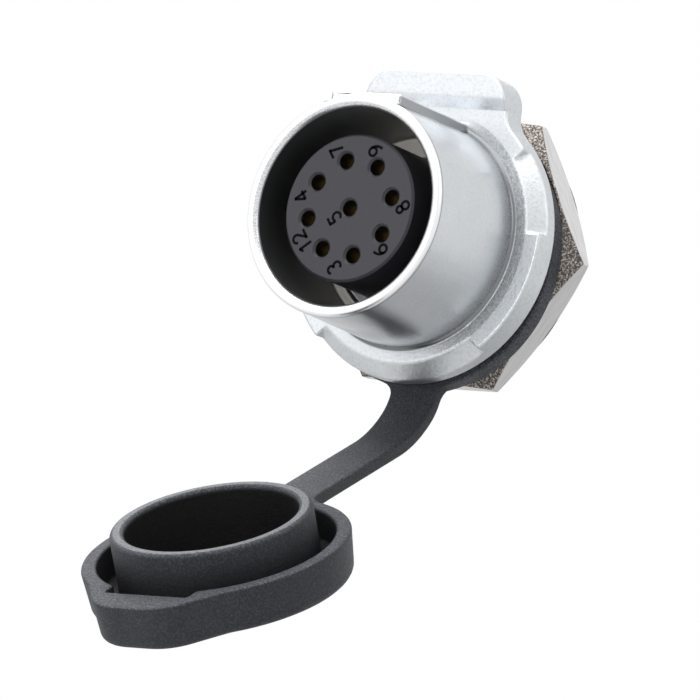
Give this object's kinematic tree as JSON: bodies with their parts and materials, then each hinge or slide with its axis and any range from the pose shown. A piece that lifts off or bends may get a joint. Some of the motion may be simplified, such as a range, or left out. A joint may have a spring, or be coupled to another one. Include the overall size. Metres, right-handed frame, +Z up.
{
  "type": "circular connector",
  "caption": "Panel-mount circular connector socket: flanged metal shell with keyed barrel and numbered contact insert, hexagon nut behind, and a rubber dust cap on a strap.",
  "frame": {"origin": "on the connector's axis, in the rear face of the flange, where the panel's front is", "axes": "+Y along the axis to the rear (the mouth faces -Y), +Z up through the tab, +X to the right seen into the mouth"},
  "size_m": [0.029, 0.0526, 0.0602],
  "materials": {
    "zinc_shell": "satin plated zinc die casting",
    "insulator": "moulded, matt",
    "gold_contact": "turned, gold plated",
    "rubber": "moulded, matt",
    "nickel_nut": "nickel plated",
    "spring_steel": "bare spring steel"
  },
  "bodies": {
    "socket": {"shell": "zinc_shell", "contact_insert": "insulator", "rear_insulator": "insulator", "insert_seal": "rubber", "retaining_ring": "spring_steel", "contact_1": "gold_contact", "contact_2": "gold_contact", "contact_3": "gold_contact", "contact_4": "gold_contact", "contact_5": "gold_contact", "contact_6": "gold_contact", "contact_7": "gold_contact", "contact_8": "gold_contact", "contact_9": "gold_contact", "panel_gasket": "rubber", "cap_ring": "rubber"},
    "nut": {"hex_nut": "nickel_nut"},
    "strap": {"cap_strap": "rubber"},
    "cap": {"dust_cap": "rubber"}
  },
  "joints": [
    {"name": "nut_turn", "type": "hinge", "parent": "socket", "child": "nut", "pos_m": [0, 0, 0], "axis": [0, 1, 0], "continuous": true},
    {"name": "strap_swing", "type": "hinge", "parent": "socket", "child": "strap", "pos_m": [0.00052, 0.00116, -0.01499], "axis": [0.9994, 0, 0.0349], "range_deg": [-37, 45]},
    {"name": "cap_tilt", "type": "hinge", "parent": "strap", "child": "cap", "pos_m": [0.00093, -0.01471, -0.02661], "axis": [0.9994, 0, 0.0349], "range_deg": [-79, 45]}
  ]
}
